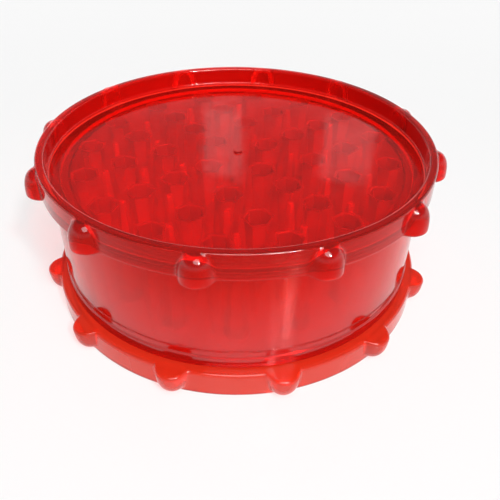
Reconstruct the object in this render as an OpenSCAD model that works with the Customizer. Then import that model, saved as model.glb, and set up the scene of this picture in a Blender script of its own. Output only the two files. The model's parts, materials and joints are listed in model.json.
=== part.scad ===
// Two-part hand grinder in clear red plastic: a toothed lid that drops over a toothed base.
// Origin: centre of the face that the base stands on. +Z runs up through both halves.
// Each half is moulded in one; its features are nodes that meet face to face.

/* [Rims] */
// Outer diameter of both rims, without the knobs
rim_d = 89; // [80:0.5:110]
// Height of each rim, from its parting face to its outer edge
rim_h = 6; // [5:0.5:8]
// Thickness of the rim's upright wall
rim_wall = 2; // [1.4:0.1:2.6]
// Depth of the recess inside each rim
recess_depth = 4.2; // [3:0.1:4.4]
// Chamfer on the edges that each rim stands on
rim_chamfer = 0.4; // [0.2:0.1:0.6]

/* [Walls] */
// Height of the lid's skirt, which sets the height of the chamber
chamber_h = 24.6; // [20:0.2:34]
// Thickness of the lid's skirt
skirt_wall = 2; // [1.4:0.1:2.4]
// How far the skirt's outer face lies inside the rim's outer face
skirt_inset = 2.3; // [1.5:0.1:3]
// Thickness of the base's inner wall
inner_wall = 1.8; // [1.2:0.1:2.4]
// Running gap between the skirt and the inner wall
wall_gap = 0.3; // [0.2:0.05:0.5]
// Gap between the tops of the base's features and the lid's disc
end_gap = 0.8; // [0.5:0.1:1.5]
// Height of the thicker band round the foot of the skirt
band_h = 2.8; // [2:0.1:4]
// How far that band stands proud of the skirt
band_proud = 0.25; // [0.1:0.05:0.4]

/* [Knobs] */
// Number of grip knobs round each rim
knob_count = 12; // [8:1:14]
// Radius of a knob at its foot
knob_r = 3.5; // [2.5:0.1:4]
// How far a knob's axis lies inside the rim's outer face
knob_inset = 0.7; // [0.2:0.1:1.5]
// How far a knob's round end stays short of the rim's edge
knob_short = 0.2; // [0:0.1:1]
// How full a knob's round end is, where 2 makes it half an ellipse
knob_fullness = 2.7; // [2:0.1:4]

/* [Teeth] */
// Gap between the lid's outermost teeth and the base's inner wall
teeth_gap = 0.9; // [0.5:0.1:1.5]
// Width of a tooth across its corners at the root
tooth_root_w = 5.6; // [4:0.1:5.8]
// Width of a tooth across its corners at the tip
tooth_tip_w = 1.7; // [1:0.1:3]
// Teeth in the lid's first ring, and how many more each ring has than the last
ring_step = 4; // [2:2:4]

/* [Gate marks] */
// Diameter of the moulding gate mark at the middle of each disc
gate_d = 2; // [1:0.1:3]
// Height of that mark
gate_h = 0.4; // [0.2:0.1:0.8]

/* [Placing] */
// Angle of the lid's first line of teeth, with the lid as it lies at rest
lid_turn = 38.7; // [0:0.1:90]
// Angle from the lid's first line of teeth to its first knob
lid_knob_lead = 12; // [0:0.5:30]
// Angle of the base's first line of teeth and its first knob
base_turn = 12.4; // [0:0.1:30]

/* [Hidden] */
$fn = 96;
RED = [0.85, 0.09, 0.08, 0.6];
LID_RINGS = 4;
BASE_RINGS = 3;
rim_r = rim_d / 2;
recess_r = rim_r - rim_wall;
disc_t = rim_h - recess_depth;
skirt_r = rim_r - skirt_inset;
skirt_bore_r = skirt_r - skirt_wall;
inner_wall_r = skirt_bore_r - wall_gap;
inner_h = chamber_h - end_gap;
chamber_r = inner_wall_r - inner_wall;
// Half a tooth's width across its flat faces, at the root
tooth_root_flat = tooth_root_w / 2 * cos(30);
// Distance between neighbouring rings of teeth on one half
ring_pitch = (chamber_r - teeth_gap - tooth_root_flat) / LID_RINGS;
lid_z = rim_h + chamber_h;
knob_h = rim_h - knob_short;
knob_axis_r = rim_r - knob_inset;
KNOB_STEPS = 10;
// Extra length by which a cutter passes the face it cuts
past = 1;

// Both halves are drawn the same way up: parting face at z = 0, outer edge at z = rim_h
module place_lid() {
    translate([0, 0, lid_z])
        rotate([0, 0, lid_turn])
            children();
}

module place_base() {
    translate([0, 0, rim_h])
        mirror([0, 0, 1])
            rotate([0, 0, base_turn])
                children();
}

// A plain tube that stands on z = 0
module tube(outer_r, wall, height) {
    rotate_extrude()
        translate([outer_r - wall, 0])
            square([wall, height]);
}

// The disc that closes each half, with its gate mark in the recess
module disc() {
    color(RED)
        union() {
            cylinder(r = recess_r, h = disc_t);
            cylinder(d = gate_d, h = disc_t + gate_h);
        }
}

// The upright rim round the disc, chamfered along the edges that it can stand on
module rim() {
    color(RED)
        rotate_extrude()
            polygon([
                [recess_r, 0],
                [rim_r, 0],
                [rim_r, rim_h - rim_chamfer],
                [rim_r - rim_chamfer, rim_h],
                [recess_r + rim_chamfer, rim_h],
                [recess_r, rim_h - rim_chamfer]
            ]);
}

// A grip knob: a round-ended lug that grows out of the rim's outer face
function knob_outline() = [
    for (s = [0:KNOB_STEPS])
        let (a = 90 * s / KNOB_STEPS)
            [knob_r * pow(cos(a), 2 / knob_fullness), knob_h * pow(sin(a), 2 / knob_fullness)]
];

module knob(angle) {
    color(RED)
        difference() {
            rotate([0, 0, angle])
                translate([knob_axis_r, 0, 0])
                    rotate_extrude($fn = 48)
                        polygon(concat([[0, 0]], knob_outline()));
            translate([0, 0, -past])
                cylinder(r = rim_r, h = rim_h + 2 * past);
        }
}

// A ring of six-sided tapered teeth that grow from z = 0 into the chamber
module tooth_ring(ring_r, count, length) {
    color(RED)
        for (i = [0:count - 1])
            rotate([0, 0, 360 * i / count])
                translate([ring_r, 0, -length])
                    rotate([0, 0, 90])
                        cylinder(d1 = tooth_tip_w, d2 = tooth_root_w, h = length, $fn = 6);
}

// The lid's rings lie at whole pitches, and the base's rings half-way between them
module lid_teeth(k) {
    tooth_ring(k * ring_pitch, k * ring_step, inner_h);
}

module base_teeth(k) {
    tooth_ring((k + 0.5) * ring_pitch, (k + 0.5) * ring_step, inner_h);
}

// The lid's skirt reaches down to the base's parting face and turns on it
module lid_skirt() {
    color(RED)
        translate([0, 0, rim_h])
            union() {
                tube(skirt_r, skirt_wall, chamber_h);
                tube(skirt_r + band_proud, skirt_wall, band_h);
            }
}

// The base's inner wall stands inside the skirt and guides it
module base_wall() {
    color(RED)
        translate([0, 0, rim_h])
            tube(inner_wall_r, inner_wall, inner_h);
}

place_base() disc();  // base_floor
place_base() rim();  // base_rim
base_wall();
for (k = [1:BASE_RINGS])
    place_base() base_teeth(k);
for (i = [1:knob_count])
    place_base() knob(360 * (i - 1) / knob_count);
place_lid() disc();  // lid_disc
place_lid() rim();  // lid_rim
lid_skirt();
for (k = [1:LID_RINGS])
    place_lid() lid_teeth(k);
for (i = [1:knob_count])
    place_lid() knob(lid_knob_lead + 360 * (i - 1) / knob_count);
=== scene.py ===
"""Two-part hand grinder in clear red plastic.

Lid and base are one closed clear mesh each, fitted to the CAD frame, and stand for all the nodes of
their moulding: a clear solid that is made of parts would show the joins.
"""
import json
import math

import bmesh
import bpy
import numpy as np
from mathutils import Matrix, Vector, geometry


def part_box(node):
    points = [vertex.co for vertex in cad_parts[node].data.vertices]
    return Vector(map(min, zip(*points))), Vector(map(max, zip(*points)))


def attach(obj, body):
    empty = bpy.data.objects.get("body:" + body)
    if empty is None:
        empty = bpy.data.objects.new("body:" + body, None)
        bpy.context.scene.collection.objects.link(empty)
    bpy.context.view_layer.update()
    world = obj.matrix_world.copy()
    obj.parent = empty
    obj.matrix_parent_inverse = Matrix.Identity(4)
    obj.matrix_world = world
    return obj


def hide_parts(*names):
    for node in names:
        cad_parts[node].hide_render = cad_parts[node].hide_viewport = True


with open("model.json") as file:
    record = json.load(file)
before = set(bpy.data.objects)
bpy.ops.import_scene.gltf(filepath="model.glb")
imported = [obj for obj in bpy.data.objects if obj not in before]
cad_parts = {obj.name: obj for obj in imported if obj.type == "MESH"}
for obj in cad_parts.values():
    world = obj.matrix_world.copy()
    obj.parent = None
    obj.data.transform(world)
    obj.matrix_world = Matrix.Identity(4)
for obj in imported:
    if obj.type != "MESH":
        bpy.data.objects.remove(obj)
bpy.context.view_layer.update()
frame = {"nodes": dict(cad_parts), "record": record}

MM = 0.001


# ---------------------------------------------------------------- sizes that the frame shows (mm)
def round_part(node):
    """(outer radius, lowest z, highest z) of a CAD node that is round about the axis, in mm."""
    low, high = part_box(node)
    reach = max(abs(v) for corner in (low, high) for v in corner[:2])
    return [round(v / MM, 2) for v in (reach, low[2], high[2])]


def count_nodes(start):
    """Number of CAD nodes whose names start that way."""
    return sum(name.startswith(start) for name in frame["nodes"])


RIM_R, _, RIM_H = round_part("base_rim")
RECESS_R, GATE_Z, _ = round_part("base_floor")
INNER_WALL_R, _, INNER_TOP_Z = round_part("base_wall")
BAND_R, _, LID_Z = round_part("lid_skirt")
CHAMBER_H = LID_Z - RIM_H
INNER_H = INNER_TOP_Z - RIM_H
KNOB_COUNT = count_nodes("lid_knob_")
LID_RINGS = count_nodes("lid_teeth_")
BASE_RINGS = count_nodes("base_teeth_")

# ---------------------------------------------------------------- other sizes of the part's source (mm)
GATE_R = 1.0
GATE_H = 0.4
DISC_T = RIM_H - GATE_Z - GATE_H
BAND_H = 2.8
BAND_PROUD = 0.25
SKIRT_WALL = 2.0
SKIRT_R = BAND_R - BAND_PROUD
SKIRT_BORE_R = SKIRT_R - SKIRT_WALL
INNER_WALL = 1.8
CHAMBER_R = INNER_WALL_R - INNER_WALL
KNOB_R = 3.5
KNOB_INSET = 0.7
KNOB_AXIS_R = RIM_R - KNOB_INSET
KNOB_SHORT = 0.2
KNOB_H = RIM_H - KNOB_SHORT
# How full a knob's round end is, where 2 makes it half an ellipse
KNOB_FULLNESS = 2.7
TOOTH_SIDES = 6
TOOTH_ROOT = 5.6 / 2
TOOTH_TIP = 1.7 / 2
TEETH_GAP = 0.9
# Teeth in the lid's first ring, and how many more each ring has than the last
RING_STEP = 4
RING_PITCH = (CHAMBER_R - TEETH_GAP - TOOTH_ROOT * math.cos(math.pi / TOOTH_SIDES)) / LID_RINGS
# Directions in degrees: the lid's first line of teeth, from there to its first knob, and the base's first
LID_TURN = 38.7
LID_KNOB_LEAD = 12.0
BASE_TURN = 12.4

# ---------------------------------------------------------------- trim that only the mesh has (mm)
EDGE = 0.3
RIM_EDGE = 0.55
# Rounding where the rim's outer face meets the parting face, on the base and on the lid
BASE_LEDGE_EDGE = 0.8
LID_LEDGE_EDGE = 0.45
INNER_FILLET = 0.4
# Fillet at the foot of the base's inner wall, and how far that row lies outside the wall
WALL_FOOT = 0.1
WALL_FOOT_END = 0.2
GATE_EDGE = 0.15
# The last row before the axis
POLE_R = 0.2
KNOB_BLEND = 0.6
TOOTH_FOOT = 0.5
TOOTH_END = 0.35
TOOTH_CORNER = 0.3
# The step at the top of the skirt's band slopes over twice this height
BAND_SLOPE = 0.2
BAND_FILLET = 0.4
# A fine moulded line round the skirt: its height over the foot, half its height, and how far it is proud
LINE_AT = 4.5
LINE_HALF = 0.3
LINE_PROUD = 0.06
LINE_EDGE = 0.2
# The clear meshes of the two halves stay this far apart where the real faces touch
FACE_GAP = 0.05

# ---------------------------------------------------------------- camera (mm, degrees)
FOCAL_MM = 41.42
SENSOR_MM = 36.0
CAMERA_AT = (0.0, -120.12, 95.19)
CAMERA_PITCH = 37.28
CAMERA_YAW = 1.56
CAMERA_ROLL = 1.16


def make_camera():
    data = bpy.data.cameras.new("camera")
    data.lens = FOCAL_MM
    data.sensor_width = SENSOR_MM
    data.clip_start = 0.01
    cam = bpy.data.objects.new("camera", data)
    turn = (
        Matrix.Rotation(math.radians(-CAMERA_YAW), 4, "Z")
        @ Matrix.Rotation(math.radians(90 - CAMERA_PITCH), 4, "X")
        @ Matrix.Rotation(math.radians(CAMERA_ROLL), 4, "Z")
    )
    cam.matrix_world = Matrix.Translation(Vector(CAMERA_AT) * MM) @ turn
    bpy.context.scene.collection.objects.link(cam)
    bpy.context.scene.camera = cam


# ---------------------------------------------------------------- outlines in the r-h plane
ARC_STEP = math.radians(18)
# A corner that turns by less than this is left as it is
STRAIGHT = 0.01
# Points this far before and after an arc keep the flat stretches beside it flat
SUPPORT = 0.12
QUARTER_TURN = [math.radians(90 * s / 5) for s in range(6)]


def rounded(points):
    """A line through (r, h, fillet) points, its corners turned by arcs with a support point at each end."""
    line = [Vector(points[0][:2])]
    for before, corner, after in zip(points, points[1:], points[2:]):
        p, fillet = Vector(corner[:2]), corner[2]
        a = (Vector(before[:2]) - p).normalized()
        b = (Vector(after[:2]) - p).normalized()
        turn = math.pi - a.angle(b)
        if fillet <= 0 or turn < STRAIGHT:
            line.append(p)
            continue
        reach = fillet * math.tan(turn / 2)
        centre = p + (a + b).normalized() * fillet / math.cos(turn / 2)
        start, end = p + a * reach, p + b * reach
        steps = max(2, math.ceil(turn / ARC_STEP))
        spoke = start - centre
        sweep = spoke.angle_signed(end - centre)
        line.append(start + a * SUPPORT)
        for s in range(steps + 1):
            t = -sweep * s / steps
            c, n = math.cos(t), math.sin(t)
            line.append(centre + Vector((spoke.x * c - spoke.y * n, spoke.x * n + spoke.y * c)))
        line.append(end + b * SUPPORT)
    line.append(Vector(points[-1][:2]))
    return line


# ---------------------------------------------------------------- columns round the axis
KNOB_PITCH_DEG = 360 / KNOB_COUNT
# The stretch on each side of a knob's middle that has the finer columns
KNOB_HALF_DEG = 7.0
KNOB_STEPS = 32
PLAIN_STEPS = 16
# The share of those finer columns that stay on the knob, and the least width they are squeezed into
ON_KNOB = 0.62
LEAST_DEG = 1.2
# The search for the rim's outer face: how far inside the rim it starts, and how often it halves
SEARCH_INSET = 0.5
SEARCH_STEPS = 26


def lug_radius(h):
    """Radius of a knob at height h over the parting face."""
    return KNOB_R * max(0.0, 1 - (max(h, 0.0) / KNOB_H) ** KNOB_FULLNESS) ** (1 / KNOB_FULLNESS)


def column_angles(first_knob, h):
    """Angles in degrees of the mesh's columns at height h. They follow the line where knob and rim meet."""
    lug = lug_radius(h)
    past_rim = RIM_R - KNOB_AXIS_R
    meets = math.degrees(math.sqrt(max(lug * lug - past_rim * past_rim, 0.0)) / RIM_R)
    half = max(LEAST_DEG, meets)
    u = np.linspace(-1, 1, KNOB_STEPS, endpoint=False)
    near = np.abs(u) / ON_KNOB * half
    far = half + (np.abs(u) - ON_KNOB) / (1 - ON_KNOB) * (KNOB_HALF_DEG - half)
    at_knob = np.sign(u) * np.where(np.abs(u) < ON_KNOB, near, far)
    between = np.linspace(KNOB_HALF_DEG, KNOB_PITCH_DEG - KNOB_HALF_DEG, PLAIN_STEPS, endpoint=False)
    sector = np.concatenate([at_knob, between])
    return np.concatenate([first_knob + k * KNOB_PITCH_DEG + sector for k in range(KNOB_COUNT)])


def rim_reach(angles, first_knob, h):
    """Radius of the rim's outer face, knobs blended in, at height h over the parting face."""
    half_pitch = KNOB_PITCH_DEG / 2
    off = np.radians((angles - first_knob + half_pitch) % KNOB_PITCH_DEG - half_pitch)
    lug = lug_radius(h)
    low = np.full(len(angles), RIM_R - SEARCH_INSET)
    high = np.full(len(angles), RIM_R + KNOB_R)
    for _ in range(SEARCH_STEPS):
        r = (low + high) / 2
        to_rim = r - RIM_R
        to_knob = np.hypot(r * np.cos(off) - KNOB_AXIS_R, r * np.sin(off)) - lug
        near = np.maximum(KNOB_BLEND - np.abs(to_rim - to_knob), 0) / KNOB_BLEND
        inside = np.minimum(to_rim, to_knob) - near * near * KNOB_BLEND / 4 < 0
        low = np.where(inside, r, low)
        high = np.where(inside, high, r)
    return (low + high) / 2


# ---------------------------------------------------------------- one moulding
# Material slots of both meshes
CLEAR, TEETH, THICK_RIM = range(3)
# Rows across the ledge, as shares of its width
LEDGE_ROWS = (0.1, 0.5, 0.9, 1.0)
# Rows up the rim's outer face. They lie closer together towards its edge, where the knobs turn round
FACE_ROWS = 26
FACE_BUNCHING = 1.15
# Sections between a tooth's flared foot and its round tip, as shares of that length
TOOTH_ROWS = (0.08, 0.5, 0.92)
TOOTH_CORNER_STEPS = 4
# A tooth's upright corners are rounded by at most this share of half its width
TOOTH_CORNER_SHARE = 0.45
# The band's outer side is what lies outside this radius
BAND_FACE_R = BAND_R - EDGE - SUPPORT / 2
# Vertices closer than this are one, in mm where the floor is filled and in metres where all is welded
SAME_MM = 1e-7
SAME_M = 1e-7


class Moulding:
    """Gathers the rows, teeth and faces of one closed mesh, drawn with the parting face at h = 0.

    first_knob is the direction of a knob in degrees, and ledge_edge the rounding where the rim's outer
    face meets the parting face. Below band_top the wall's outer side takes the rim's material, and by
    default there is no such band.
    """

    def __init__(self, first_knob, ledge_edge, band_top=-CHAMBER_H):
        self.first_knob = first_knob
        self.ledge_edge = ledge_edge
        self.band_top = band_top
        self.verts = []
        self.faces = []
        self.slot_of_face = {}

    def ring(self, points):
        start = len(self.verts)
        self.verts.extend(tuple(p) for p in points)
        return list(range(start, start + len(points)))

    def bridge(self, a, b):
        n = len(a)
        self.faces.extend((a[i], a[(i + 1) % n], b[(i + 1) % n], b[i]) for i in range(n))

    def close(self, ring, point):
        tip = len(self.verts)
        self.verts.append(tuple(point))
        n = len(ring)
        self.faces.extend((ring[i], ring[(i + 1) % n], tip) for i in range(n))

    def mark(self, first_face, slot):
        """The faces from first_face to the last one so far take that material slot."""
        self.slot_of_face.update((n, slot) for n in range(first_face, len(self.faces)))

    def row(self, radius, h, shape_h=0.0):
        """A row at height h, in the columns of height shape_h. radius is one number or one per column."""
        a = np.radians(column_angles(self.first_knob, shape_h))
        r = np.broadcast_to(np.asarray(radius, float), a.shape)
        return self.ring(list(zip(r * np.cos(a), r * np.sin(a), [h] * len(a))))

    def face_reach(self, h):
        """Radius of the rim's outer face in each column at height h."""
        return rim_reach(column_angles(self.first_knob, h), self.first_knob, h)

    def outside(self, inset, h):
        """A row on the rim's outer face, drawn in by inset."""
        return self.row(self.face_reach(h) - inset, h, h)

    def ledge(self, wall_r):
        """Rows over the parting face, from the wall to the rounding at the rim's outer face."""
        edge = self.face_reach(0.0) - self.ledge_edge
        return [self.row(wall_r + (edge - wall_r) * share, 0.0) for share in LEDGE_ROWS]

    def rim_face(self):
        """Rows from that rounding to the top of the rim's outer face."""
        soft = self.ledge_edge
        rows = [self.outside(soft * (1 - math.sin(t)), soft * (1 - math.cos(t))) for t in QUARTER_TURN[1:]]
        for share in np.linspace(0, 1, FACE_ROWS + 1)[1:]:
            h = soft + (RIM_H - RIM_EDGE - soft) * math.sin(math.pi / 2 * share) ** FACE_BUNCHING
            rows.append(self.outside(0.0, h))
        return rows

    def rim_top(self):
        """Rows over the rim's outer edge, its top, the recess and the gate mark, to near the axis."""
        rows = [
            self.outside(RIM_EDGE * (1 - math.cos(t)), RIM_H - RIM_EDGE * (1 - math.sin(t)))
            for t in QUARTER_TURN[1:]
        ]
        top = rounded([
            (RIM_R - RIM_EDGE, RIM_H, 0),
            (RECESS_R, RIM_H, RIM_EDGE),
            (RECESS_R, DISC_T, INNER_FILLET),
            (GATE_R, DISC_T, GATE_EDGE),
            (GATE_R, DISC_T + GATE_H, GATE_EDGE),
            (POLE_R, DISC_T + GATE_H, 0),
        ])
        return rows + [self.row(p.x, p.y, RIM_H) for p in top[1:]]

    def on_band(self, p):
        """Whether a point of the wall's outline is on the outer side of the band at the skirt's foot."""
        return p.x > BAND_FACE_R and p.y < self.band_top

    def shell(self, wall_line):
        """Everything but teeth and the chamber's floor. Returns the row at the chamber's edge."""
        rows = [self.row(p.x, p.y) for p in wall_line]
        thick = {n for n, pair in enumerate(zip(wall_line, wall_line[1:])) if all(map(self.on_band, pair))}
        thick_from = len(rows)
        rows += self.ledge(wall_line[-1].x)
        rows += self.rim_face()
        thick.update(range(thick_from, len(rows)))
        rows += self.rim_top()
        for n, (a, b) in enumerate(zip(rows, rows[1:])):
            first = len(self.faces)
            self.bridge(a, b)
            if n in thick:
                self.mark(first, THICK_RIM)
        self.close(rows[-1], (0, 0, DISC_T + GATE_H))
        return rows[0]

    def tooth(self, ring_r, angle):
        """A six-sided tapered tooth from h = 0 to -INNER_H. Returns the outline of its flared root."""
        a = math.radians(angle)
        cx, cy = ring_r * math.cos(a), ring_r * math.sin(a)

        def outline(half_w, h):
            corner = min(TOOTH_CORNER, half_w * TOOTH_CORNER_SHARE)
            hub = half_w - corner / math.cos(math.pi / TOOTH_SIDES)
            points = []
            for k in range(TOOTH_SIDES):
                mid = a + math.pi / 2 + 2 * math.pi * k / TOOTH_SIDES
                for s in range(TOOTH_CORNER_STEPS + 1):
                    t = mid + math.pi / TOOTH_SIDES * (2 * s / TOOTH_CORNER_STEPS - 1)
                    points.append((
                        cx + hub * math.cos(mid) + corner * math.cos(t),
                        cy + hub * math.sin(mid) + corner * math.sin(t),
                        h,
                    ))
            return points

        def taper(h):
            return TOOTH_ROOT + (TOOTH_TIP - TOOTH_ROOT) * -h / INNER_H

        sections = [(taper(0) + TOOTH_FOOT + SUPPORT, 0.0)]
        for t in QUARTER_TURN:
            h = -TOOTH_FOOT * (1 - math.cos(t))
            sections.append((taper(h) + TOOTH_FOOT * (1 - math.sin(t)), h))
        for share in TOOTH_ROWS:
            h = -TOOTH_FOOT + (TOOTH_FOOT + TOOTH_END - INNER_H) * share
            sections.append((taper(h), h))
        for t in QUARTER_TURN:
            h = -INNER_H + TOOTH_END * (1 - math.sin(t))
            sections.append((taper(h) - TOOTH_END * (1 - math.cos(t)), h))
        rings = [self.ring(outline(half_w, h)) for half_w, h in sections]
        first = len(self.faces)
        for p, q in zip(rings, rings[1:]):
            self.bridge(p, q)
        self.close(rings[-1], (cx, cy, -INNER_H))
        self.mark(first, TEETH)
        return rings[0]

    def tooth_rings(self, pitches, first_angle):
        """Rings of teeth that many pitches from the axis. Returns the outlines of the teeth's roots."""
        return [
            self.tooth(k * RING_PITCH, first_angle + 360 * i / (k * RING_STEP))
            for k in pitches
            for i in range(int(k * RING_STEP))
        ]

    def floor_between(self, edge, outlines):
        """Fills the flat face at h = 0 between the chamber's edge and the roots of the teeth."""
        loops = [edge] + outlines
        ids = [i for loop in loops for i in loop]
        owner = {i: k for k, loop in enumerate(loops) for i in loop}
        place = {v: n for n, v in enumerate(ids)}
        flat = [Vector(self.verts[i][:2]) for i in ids]
        sides = [(place[a], place[b]) for loop in loops for a, b in zip(loop, loop[1:] + loop[:1])]
        found = geometry.delaunay_2d_cdt(flat, sides, [], 0, SAME_MM)
        back = [ids[o[0]] for o in found[3]]
        for face in found[2]:
            corners = [back[i] for i in face]
            owners = {owner[i] for i in corners}
            if len(owners) > 1 or owners == {0}:
                self.faces.append(tuple(corners))

    def build(self, name, place):
        """The finished mesh object, with its vertices moved by place (mm in, metres out)."""
        mesh = bpy.data.meshes.new(name)
        mesh.from_pydata([place(v) for v in self.verts], [], self.faces)
        for face in mesh.polygons:
            face.material_index = self.slot_of_face.get(face.index, CLEAR)
        bm = bmesh.new()
        bm.from_mesh(mesh)
        bmesh.ops.remove_doubles(bm, verts=bm.verts, dist=SAME_M)
        bmesh.ops.recalc_face_normals(bm, faces=bm.faces)
        open_edges = [e for e in bm.edges if not e.is_manifold]
        if open_edges:
            raise RuntimeError(f"{name} has {len(open_edges)} open edges")
        bm.to_mesh(mesh)
        bm.free()
        mesh.shade_smooth()
        obj = bpy.data.objects.new(name, mesh)
        bpy.context.scene.collection.objects.link(obj)
        weighted = obj.modifiers.new("normals", "WEIGHTED_NORMAL")
        weighted.keep_sharp = True
        return obj


def make_lid():
    foot = -CHAMBER_H
    band_top = foot + BAND_H
    line = foot + LINE_AT
    above_step = band_top + BAND_SLOPE + SUPPORT / 2
    part = Moulding(LID_TURN + LID_KNOB_LEAD, LID_LEDGE_EDGE, above_step)
    edge = part.shell(rounded([
        (SKIRT_BORE_R - INNER_FILLET - SUPPORT, 0, 0),
        (SKIRT_BORE_R, 0, INNER_FILLET),
        (SKIRT_BORE_R, foot + FACE_GAP, EDGE),
        (BAND_R, foot + FACE_GAP, EDGE),
        (BAND_R, band_top - BAND_SLOPE, BAND_FILLET),
        (SKIRT_R, band_top + BAND_SLOPE, BAND_FILLET),
        (SKIRT_R, line - LINE_HALF, BAND_FILLET),
        (SKIRT_R + LINE_PROUD, line, LINE_EDGE),
        (SKIRT_R, line + LINE_HALF, BAND_FILLET),
        (SKIRT_R, 0, INNER_FILLET),
        (SKIRT_R + INNER_FILLET + SUPPORT, 0, 0),
    ]))
    part.floor_between(edge, part.tooth_rings(range(1, LID_RINGS + 1), LID_TURN))
    return part.build("lid_moulding", lambda v: (v[0] * MM, v[1] * MM, (LID_Z + v[2]) * MM))


def make_base():
    part = Moulding(BASE_TURN, BASE_LEDGE_EDGE)
    edge = part.shell(rounded([
        (CHAMBER_R - INNER_FILLET - SUPPORT, 0, 0),
        (CHAMBER_R, 0, INNER_FILLET),
        (CHAMBER_R, -INNER_H, EDGE),
        (INNER_WALL_R, -INNER_H, EDGE),
        (INNER_WALL_R, 0, WALL_FOOT),
        (INNER_WALL_R + WALL_FOOT_END, 0, 0),
    ]))
    part.floor_between(edge, part.tooth_rings([k + 1.5 for k in range(BASE_RINGS)], BASE_TURN))
    return part.build("base_moulding", lambda v: (v[0] * MM, v[1] * MM, (RIM_H - v[2]) * MM))


# ---------------------------------------------------------------- shader building blocks
def map_range(tree, value, span, to=(0.0, 1.0), way="LINEAR"):
    """Takes value from one span to another and holds it at the ends."""
    node = tree.nodes.new("ShaderNodeMapRange")
    node.interpolation_type = way
    for socket, limit in zip(("From Min", "From Max", "To Min", "To Max"), (*span, *to)):
        node.inputs[socket].default_value = limit
    tree.links.new(value, node.inputs["Value"])
    return node.outputs["Result"]


def calculate(tree, operation, *inputs):
    """A Math node. Each input is a socket or a number."""
    node = tree.nodes.new("ShaderNodeMath")
    node.operation = operation
    for socket, source in zip(node.inputs, inputs):
        if isinstance(source, bpy.types.NodeSocket):
            tree.links.new(source, socket)
        else:
            socket.default_value = source
    return node.outputs[0]


def noise(tree, place, scale, detail):
    node = tree.nodes.new("ShaderNodeTexNoise")
    node.inputs["Scale"].default_value = scale
    node.inputs["Detail"].default_value = detail
    tree.links.new(place, node.inputs["Vector"])
    return node.outputs["Fac"]


def z_of(tree, vector):
    node = tree.nodes.new("ShaderNodeSeparateXYZ")
    tree.links.new(vector, node.inputs["Vector"])
    return node.outputs["Z"]


# ---------------------------------------------------------------- the plastic
PLASTIC_IOR = 1.49
# What each surface lets through of a lamp's light, which makes the shadow on the floor pink
LAMP_TINT = (0.99, 0.12, 0.10, 1.0)
DYE = (0.95, 0.42, 0.32, 1.0)
DYE_DENSITY = 180.0
# Painted reflection: the specular tint is white low on the part and on faces that are not upright, and red
# high on upright faces
PLAIN_WHITE_REFLECTION = (1, 1, 1, 1)
PAINTED_RED_REFLECTION = (1, 0.18, 0.12, 1)
# Painted reflection: heights in metres between which the reflections of upright faces turn from white to
# red, as though the white floor were reflected only low on the part
PAINTED_REFLECTION_HEIGHTS = (0.012, 0.026)
# Sizes of the normal's z between which a face stops counting as upright, for that painted reflection
PAINTED_REFLECTION_LEAN = (0.30, 0.50)


def rubbing_marks(tree, place, roughness):
    """Roughness that varies between two values over fine marks."""
    marks = noise(tree, place, scale=420.0, detail=4.0)
    return map_range(tree, marks, span=(0.35, 0.75), to=roughness)


def mould_waves(tree, place):
    """A normal that leans a little to and fro, as a moulded face does."""
    bump = tree.nodes.new("ShaderNodeBump")
    bump.inputs["Strength"].default_value = 0.35
    bump.inputs["Distance"].default_value = 0.0002
    tree.links.new(noise(tree, place, scale=90.0, detail=1.0), bump.inputs["Height"])
    return bump.outputs["Normal"]


def painted_reflection_tint(tree, place):
    """Painted reflection: reflections are tinted red on upright faces high on the part, and white
    elsewhere, as though the white floor were reflected only low on the part.
    """
    shape = tree.nodes.new("ShaderNodeNewGeometry")
    high = map_range(tree, z_of(tree, place), PAINTED_REFLECTION_HEIGHTS)
    lean = calculate(tree, "ABSOLUTE", z_of(tree, shape.outputs["Normal"]))
    upright = map_range(tree, lean, PAINTED_REFLECTION_LEAN, to=(1.0, 0.0))
    mix = tree.nodes.new("ShaderNodeMix")
    mix.data_type = "RGBA"
    mix.inputs[6].default_value = PLAIN_WHITE_REFLECTION
    mix.inputs[7].default_value = PAINTED_RED_REFLECTION
    tree.links.new(calculate(tree, "MULTIPLY", high, upright), mix.inputs[0])
    return mix.outputs[2]


def make_plastic(name, colour, clear_share, roughness):
    """Dyed plastic. clear_share of it is clear and the rest cloudy. roughness is its least and its most."""
    mat = bpy.data.materials.new(name)
    mat.use_nodes = True
    tree = mat.node_tree
    tree.nodes.clear()
    place = tree.nodes.new("ShaderNodeTexCoord").outputs["Object"]
    shader = tree.nodes.new("ShaderNodeBsdfPrincipled")
    shader.inputs["Base Color"].default_value = colour
    shader.inputs["IOR"].default_value = PLASTIC_IOR
    shader.inputs["Transmission Weight"].default_value = clear_share
    tree.links.new(rubbing_marks(tree, place, roughness), shader.inputs["Roughness"])
    tree.links.new(mould_waves(tree, place), shader.inputs["Normal"])
    # Painted reflection: the specular tint turns red on upright faces high on the part
    tree.links.new(painted_reflection_tint(tree, place), shader.inputs["Specular Tint"])

    lets_through = tree.nodes.new("ShaderNodeBsdfTransparent")
    lets_through.inputs["Color"].default_value = LAMP_TINT
    path = tree.nodes.new("ShaderNodeLightPath")
    mix = tree.nodes.new("ShaderNodeMixShader")
    tree.links.new(path.outputs["Is Shadow Ray"], mix.inputs[0])
    tree.links.new(shader.outputs["BSDF"], mix.inputs[1])
    tree.links.new(lets_through.outputs["BSDF"], mix.inputs[2])
    dye = tree.nodes.new("ShaderNodeVolumeAbsorption")
    dye.inputs["Color"].default_value = DYE
    dye.inputs["Density"].default_value = DYE_DENSITY
    out = tree.nodes.new("ShaderNodeOutputMaterial")
    tree.links.new(mix.outputs["Shader"], out.inputs["Surface"])
    tree.links.new(dye.outputs["Volume"], out.inputs["Volume"])
    return mat


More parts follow.
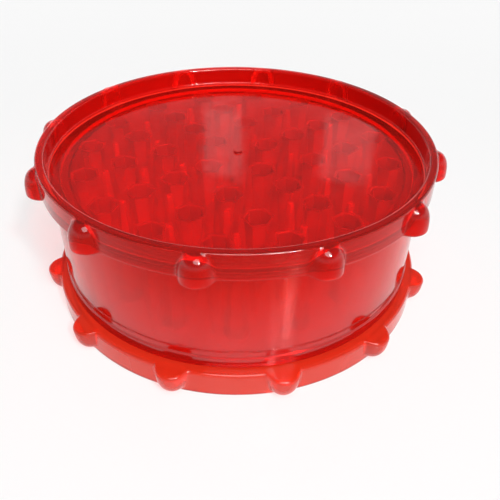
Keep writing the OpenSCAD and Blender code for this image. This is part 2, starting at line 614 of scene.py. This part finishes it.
def dress(piece, name, wall_colour, rim_colour, rim_clear_share):
    """Fills the material slots in the order CLEAR, TEETH, THICK_RIM. The last two are cloudier."""
    tooth_colour = (0.8, 0.018, 0.016, 1)
    for mat in (
        make_plastic(name + "_clear", wall_colour, clear_share=0.93, roughness=(0.05, 0.13)),
        make_plastic(name + "_teeth", tooth_colour, clear_share=0.64, roughness=(0.12, 0.22)),
        make_plastic(name + "_rim", rim_colour, clear_share=rim_clear_share, roughness=(0.03, 0.08)),
    ):
        piece.data.materials.append(mat)


# ---------------------------------------------------------------- floor and background
FLOOR_HALF = 12.0
FLOOR_Z = -0.00002
FLOOR_PAINT = (0.9, 0.9, 0.9, 1)
FLOOR_ROUGHNESS = 0.15
# Share of the floor's look that is plain white; the rest is lit, and takes the shadow
FLOOR_WHITE = 0.5
# Elevations in degrees between which the studio fades from its white sides to its dim ceiling
FADE_DEG = (8, 27)
CEILING = 0.16


def make_floor():
    """A white floor that looks white to the camera and in the plastic, and takes the object's shadow."""
    mesh = bpy.data.meshes.new("floor")
    signs = ((-1, -1), (1, -1), (1, 1), (-1, 1))
    mesh.from_pydata([(FLOOR_HALF * x, FLOOR_HALF * y, 0) for x, y in signs], [], [(0, 1, 2, 3)])
    floor = bpy.data.objects.new("floor", mesh)
    floor.location.z = FLOOR_Z
    bpy.context.scene.collection.objects.link(floor)
    mat = bpy.data.materials.new("floor_white")
    mat.use_nodes = True
    tree = mat.node_tree
    paint = tree.nodes["Principled BSDF"]
    paint.inputs["Base Color"].default_value = FLOOR_PAINT
    paint.inputs["Roughness"].default_value = FLOOR_ROUGHNESS
    white = tree.nodes.new("ShaderNodeEmission")
    white.inputs["Strength"].default_value = 1.0
    path = tree.nodes.new("ShaderNodeLightPath")
    shows = path.outputs["Is Camera Ray"]
    for ray in ("Is Glossy Ray", "Is Transmission Ray"):
        shows = calculate(tree, "MAXIMUM", shows, path.outputs[ray])
    mix = tree.nodes.new("ShaderNodeMixShader")
    tree.links.new(calculate(tree, "MULTIPLY", shows, FLOOR_WHITE), mix.inputs[0])
    tree.links.new(paint.outputs[0], mix.inputs[1])
    tree.links.new(white.outputs[0], mix.inputs[2])
    tree.links.new(mix.outputs[0], tree.nodes["Material Output"].inputs["Surface"])
    mesh.materials.append(mat)


def make_world():
    """A studio with white sides and a dim ceiling."""
    world = bpy.data.worlds.new("studio")
    bpy.context.scene.world = world
    world.use_nodes = True
    tree = world.node_tree
    place = tree.nodes.new("ShaderNodeTexCoord")
    rise = z_of(tree, place.outputs["Generated"])
    span = [math.sin(math.radians(elevation)) for elevation in FADE_DEG]
    sky = tree.nodes["Background"]
    sky.inputs["Color"].default_value = (1, 1, 1, 1)
    fade = map_range(tree, rise, span, to=(1.0, CEILING), way="SMOOTHSTEP")
    tree.links.new(fade, sky.inputs["Strength"])


# ---------------------------------------------------------------- lamps (metres, degrees)
AIM_AT = Vector((0, 0, 0.02))
# The panels' distances and elevations are from this height, at the lid's disc
PANELS_FROM_Z = 0.03


def direction(azimuth, elevation):
    a, e = math.radians(azimuth), math.radians(elevation)
    return Vector((math.cos(e) * math.cos(a), math.cos(e) * math.sin(a), math.sin(e)))


def add_lamp(name, data, place):
    lamp = bpy.data.objects.new(name, data)
    lamp.location = place
    lamp.rotation_euler = (AIM_AT - place).to_track_quat("-Z", "Y").to_euler()
    bpy.context.scene.collection.objects.link(lamp)


def add_sun(name, azimuth, elevation, share, softness):
    """A soft, even light from far away. share is how bright it alone makes a white floor."""
    data = bpy.data.lights.new(name, "SUN")
    data.energy = share * math.pi / math.sin(math.radians(elevation))
    data.angle = math.radians(softness)
    add_lamp(name, data, AIM_AT + direction(azimuth, elevation))


def add_panel(name, azimuth, elevation, away, size, whiteness):
    """A rectangular soft box. whiteness is how bright it shows in a mirror, where 1 is white."""
    data = bpy.data.lights.new(name, "AREA")
    data.shape = "RECTANGLE"
    data.size, data.size_y = size
    data.energy = whiteness * math.pi * size[0] * size[1]
    add_lamp(name, data, Vector((0, 0, PANELS_FROM_Z)) + away * direction(azimuth, elevation))


def make_lights():
    add_sun("top", azimuth=-80, elevation=56, share=0.5, softness=40)
    add_sun("key", azimuth=-57, elevation=42, share=0.24, softness=5)
    add_panel("strip", azimuth=-67, elevation=43, away=0.69, size=(0.05, 0.30), whiteness=21)
    add_panel("window", azimuth=91.7, elevation=26.7, away=1.5, size=(0.105, 0.19), whiteness=0.45)
    add_panel("side_window", azimuth=77, elevation=26.7, away=1.5, size=(0.14, 0.16), whiteness=0.4)


# ---------------------------------------------------------------- the scene
def nodes_of(*bodies):
    return [n for b in bodies for n in frame["record"]["behaviour"]["bodies"][b]]


make_camera()
lid = make_lid()
dress(
    lid, "lid_plastic",
    wall_colour=(1.0, 0.05, 0.03, 1), rim_colour=(1.0, 0.014, 0.011, 1), rim_clear_share=0.75,
)
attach(lid, "lid")
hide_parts(*nodes_of("lid", "skirt"))

base = make_base()
# Painted shade: the base's clear walls get a darker red than the lid's, though both halves are one plastic,
# which darkens the base where the floor lights it more
dress(
    base, "base_plastic",
    wall_colour=(0.68, 0.05, 0.03, 1), rim_colour=(0.93, 0.05, 0.018, 1), rim_clear_share=0.62,
)
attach(base, "base")
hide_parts(*nodes_of("base"))

make_floor()
make_world()
make_lights()
bpy.context.scene.view_settings.view_transform = "Standard"
